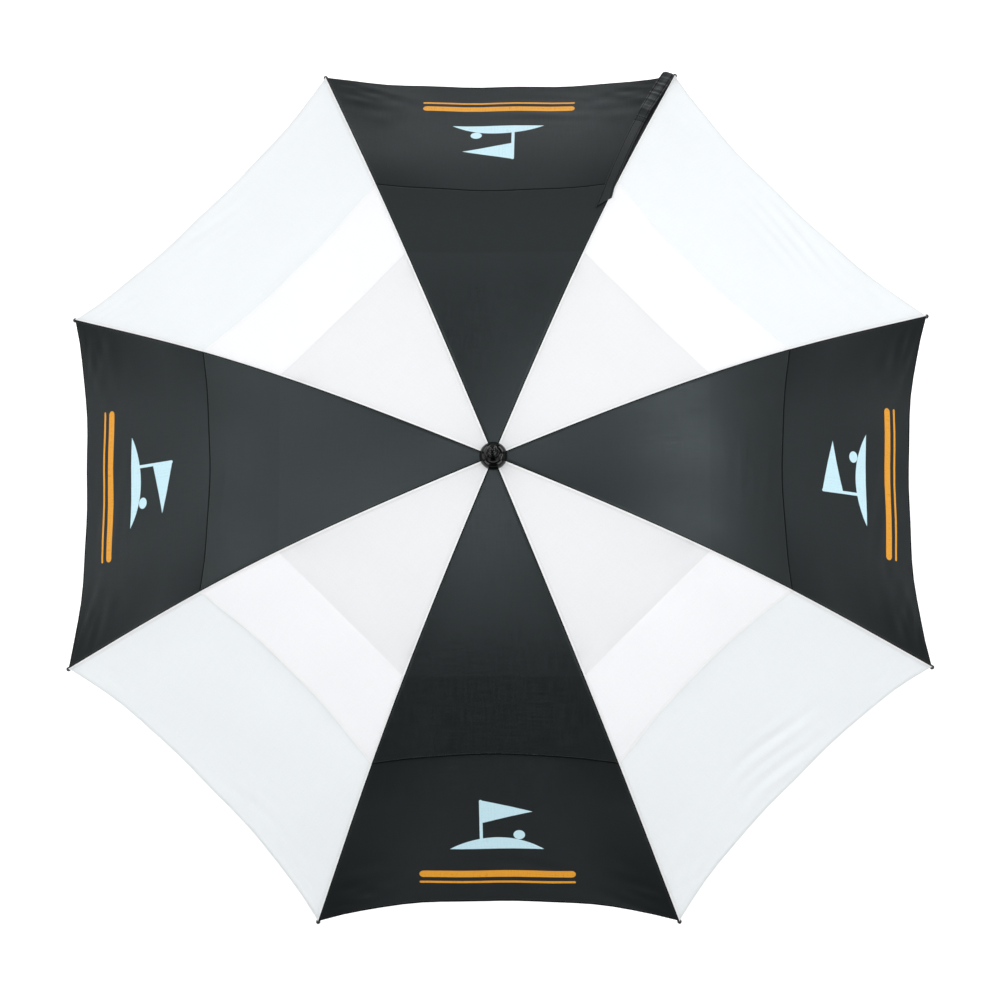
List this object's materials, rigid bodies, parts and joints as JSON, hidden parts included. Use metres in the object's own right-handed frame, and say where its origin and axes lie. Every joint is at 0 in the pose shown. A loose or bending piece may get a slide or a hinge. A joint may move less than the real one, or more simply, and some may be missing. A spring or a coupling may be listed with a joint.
{
  "type": "golf umbrella",
  "caption": "Vented golf umbrella, open: black and white panels on hinged ribs and stretchers that fold with a sliding runner, spring catches, straight foam grip.",
  "frame": {"origin": "on the shaft's axis at the middle of the hand grip", "axes": "+Z along the shaft from the grip to the canopy's crown; black panels face +X, +Y, -X and -Y"},
  "size_m": [1.2634, 1.2634, 1.007],
  "materials": {
    "black_cloth": "matt",
    "white_cloth": "matt",
    "strap_cloth": "matt",
    "cap_plastic": "gloss",
    "tip_plastic": "satin",
    "moulded_plastic": "satin",
    "handle_plastic": "satin",
    "grip_foam": "matt",
    "steel": "satin",
    "shaft_fibreglass": "satin",
    "rib_fibreglass": "satin"
  },
  "bodies": {
    "shaft": {"shaft": "shaft_fibreglass", "ferrule_cap": "cap_plastic", "top_notch": "moulded_plastic", "top_notch_wire": "steel", "handle_grip": "grip_foam", "handle_collar": "handle_plastic", "handle_end_cap": "handle_plastic"},
    "runner": {"runner": "moulded_plastic", "runner_wire": "steel"},
    "top_catch": {"top_catch": "steel"},
    "bottom_catch": {"bottom_catch": "steel"},
    "rib_1": {"rib_1": "rib_fibreglass", "rib_tip_1": "tip_plastic", "rib_joint_1": "moulded_plastic", "upper_panel_1": "white_cloth", "lower_panel_1": "white_cloth"},
    "stretcher_1": {"stretcher_1": "rib_fibreglass"},
    "rib_2": {"rib_2": "rib_fibreglass", "rib_tip_2": "tip_plastic", "rib_joint_2": "moulded_plastic", "upper_panel_2": "black_cloth", "lower_panel_2": "black_cloth", "tie_strap": "strap_cloth"},
    "stretcher_2": {"stretcher_2": "rib_fibreglass"},
    "rib_3": {"rib_3": "rib_fibreglass", "rib_tip_3": "tip_plastic", "rib_joint_3": "moulded_plastic", "upper_panel_3": "white_cloth", "lower_panel_3": "white_cloth"},
    "stretcher_3": {"stretcher_3": "rib_fibreglass"},
    "rib_4": {"rib_4": "rib_fibreglass", "rib_tip_4": "tip_plastic", "rib_joint_4": "moulded_plastic", "upper_panel_4": "black_cloth", "lower_panel_4": "black_cloth"},
    "stretcher_4": {"stretcher_4": "rib_fibreglass"},
    "rib_5": {"rib_5": "rib_fibreglass", "rib_tip_5": "tip_plastic", "rib_joint_5": "moulded_plastic", "upper_panel_5": "white_cloth", "lower_panel_5": "white_cloth"},
    "stretcher_5": {"stretcher_5": "rib_fibreglass"},
    "rib_6": {"rib_6": "rib_fibreglass", "rib_tip_6": "tip_plastic", "rib_joint_6": "moulded_plastic", "upper_panel_6": "black_cloth", "lower_panel_6": "black_cloth"},
    "stretcher_6": {"stretcher_6": "rib_fibreglass"},
    "rib_7": {"rib_7": "rib_fibreglass", "rib_tip_7": "tip_plastic", "rib_joint_7": "moulded_plastic", "upper_panel_7": "white_cloth", "lower_panel_7": "white_cloth"},
    "stretcher_7": {"stretcher_7": "rib_fibreglass"},
    "rib_8": {"rib_8": "rib_fibreglass", "rib_tip_8": "tip_plastic", "rib_joint_8": "moulded_plastic", "upper_panel_8": "black_cloth", "lower_panel_8": "black_cloth"},
    "stretcher_8": {"stretcher_8": "rib_fibreglass"}
  },
  "joints": [
    {"name": "runner_slide", "type": "slide", "parent": "shaft", "child": "runner", "axis": [0, 0, 1], "range_m": [-0.38435, 0], "deforming": ["upper_panel_1", "upper_panel_2", "upper_panel_3", "upper_panel_4", "upper_panel_5", "upper_panel_6", "upper_panel_7", "upper_panel_8", "lower_panel_1", "lower_panel_2", "lower_panel_3", "lower_panel_4", "lower_panel_5", "lower_panel_6", "lower_panel_7", "lower_panel_8", "tie_strap"]},
    {"name": "rib_hinge_1", "type": "hinge", "parent": "shaft", "child": "rib_1", "pos_m": [0.01109, 0.00459, 0.85746], "axis": [-0.3827, 0.9239, 0], "range_deg": [0, 66.43]},
    {"name": "stretcher_hinge_1", "type": "hinge", "parent": "runner", "child": "stretcher_1", "pos_m": [0.01201, 0.00497, 0.64], "axis": [-0.3827, 0.9239, 0], "range_deg": [-45.56, 0]},
    {"name": "rib_hinge_2", "type": "hinge", "parent": "shaft", "child": "rib_2", "pos_m": [0.00459, 0.01109, 0.85746], "axis": [-0.9239, 0.3827, 0], "range_deg": [0, 66.43]},
    {"name": "stretcher_hinge_2", "type": "hinge", "parent": "runner", "child": "stretcher_2", "pos_m": [0.00497, 0.01201, 0.64], "axis": [-0.9239, 0.3827, 0], "range_deg": [-45.56, 0]},
    {"name": "rib_hinge_3", "type": "hinge", "parent": "shaft", "child": "rib_3", "pos_m": [-0.00459, 0.01109, 0.85746], "axis": [-0.9239, -0.3827, 0], "range_deg": [0, 66.43]},
    {"name": "stretcher_hinge_3", "type": "hinge", "parent": "runner", "child": "stretcher_3", "pos_m": [-0.00497, 0.01201, 0.64], "axis": [-0.9239, -0.3827, 0], "range_deg": [-45.56, 0]},
    {"name": "rib_hinge_4", "type": "hinge", "parent": "shaft", "child": "rib_4", "pos_m": [-0.01109, 0.00459, 0.85746], "axis": [-0.3827, -0.9239, 0], "range_deg": [0, 66.43]},
    {"name": "stretcher_hinge_4", "type": "hinge", "parent": "runner", "child": "stretcher_4", "pos_m": [-0.01201, 0.00497, 0.64], "axis": [-0.3827, -0.9239, 0], "range_deg": [-45.56, 0]},
    {"name": "rib_hinge_5", "type": "hinge", "parent": "shaft", "child": "rib_5", "pos_m": [-0.01109, -0.00459, 0.85746], "axis": [0.3827, -0.9239, 0], "range_deg": [0, 66.43]},
    {"name": "stretcher_hinge_5", "type": "hinge", "parent": "runner", "child": "stretcher_5", "pos_m": [-0.01201, -0.00497, 0.64], "axis": [0.3827, -0.9239, 0], "range_deg": [-45.56, 0]},
    {"name": "rib_hinge_6", "type": "hinge", "parent": "shaft", "child": "rib_6", "pos_m": [-0.00459, -0.01109, 0.85746], "axis": [0.9239, -0.3827, 0], "range_deg": [0, 66.43]},
    {"name": "stretcher_hinge_6", "type": "hinge", "parent": "runner", "child": "stretcher_6", "pos_m": [-0.00497, -0.01201, 0.64], "axis": [0.9239, -0.3827, 0], "range_deg": [-45.56, 0]},
    {"name": "rib_hinge_7", "type": "hinge", "parent": "shaft", "child": "rib_7", "pos_m": [0.00459, -0.01109, 0.85746], "axis": [0.9239, 0.3827, 0], "range_deg": [0, 66.43]},
    {"name": "stretcher_hinge_7", "type": "hinge", "parent": "runner", "child": "stretcher_7", "pos_m": [0.00497, -0.01201, 0.64], "axis": [0.9239, 0.3827, 0], "range_deg": [-45.56, 0]},
    {"name": "rib_hinge_8", "type": "hinge", "parent": "shaft", "child": "rib_8", "pos_m": [0.01109, -0.00459, 0.85746], "axis": [0.3827, 0.9239, 0], "range_deg": [0, 66.43]},
    {"name": "stretcher_hinge_8", "type": "hinge", "parent": "runner", "child": "stretcher_8", "pos_m": [0.01201, -0.00497, 0.64], "axis": [0.3827, 0.9239, 0], "range_deg": [-45.56, 0]},
    {"name": "top_catch_press", "type": "hinge", "parent": "shaft", "child": "top_catch", "pos_m": [0.0044, 0, 0.5137], "axis": [0, -1, 0], "range_deg": [0, 3], "stiffness_Nm_per_rad": 1},
    {"name": "bottom_catch_press", "type": "hinge", "parent": "shaft", "child": "bottom_catch", "pos_m": [0.0044, 0, 0.26695], "axis": [0, 1, 0], "range_deg": [0, 3], "stiffness_Nm_per_rad": 1}
  ],
  "couplings": [
    {"joint": "rib_hinge_1", "follows": "runner_slide", "rad_per_m": -3.0166},
    {"joint": "stretcher_hinge_1", "follows": "runner_slide", "rad_per_m": 2.0689},
    {"joint": "rib_hinge_2", "follows": "runner_slide", "rad_per_m": -3.0166},
    {"joint": "stretcher_hinge_2", "follows": "runner_slide", "rad_per_m": 2.0689},
    {"joint": "rib_hinge_3", "follows": "runner_slide", "rad_per_m": -3.0166},
    {"joint": "stretcher_hinge_3", "follows": "runner_slide", "rad_per_m": 2.0689},
    {"joint": "rib_hinge_4", "follows": "runner_slide", "rad_per_m": -3.0166},
    {"joint": "stretcher_hinge_4", "follows": "runner_slide", "rad_per_m": 2.0689},
    {"joint": "rib_hinge_5", "follows": "runner_slide", "rad_per_m": -3.0166},
    {"joint": "stretcher_hinge_5", "follows": "runner_slide", "rad_per_m": 2.0689},
    {"joint": "rib_hinge_6", "follows": "runner_slide", "rad_per_m": -3.0166},
    {"joint": "stretcher_hinge_6", "follows": "runner_slide", "rad_per_m": 2.0689},
    {"joint": "rib_hinge_7", "follows": "runner_slide", "rad_per_m": -3.0166},
    {"joint": "stretcher_hinge_7", "follows": "runner_slide", "rad_per_m": 2.0689},
    {"joint": "rib_hinge_8", "follows": "runner_slide", "rad_per_m": -3.0166},
    {"joint": "stretcher_hinge_8", "follows": "runner_slide", "rad_per_m": 2.0689}
  ]
}
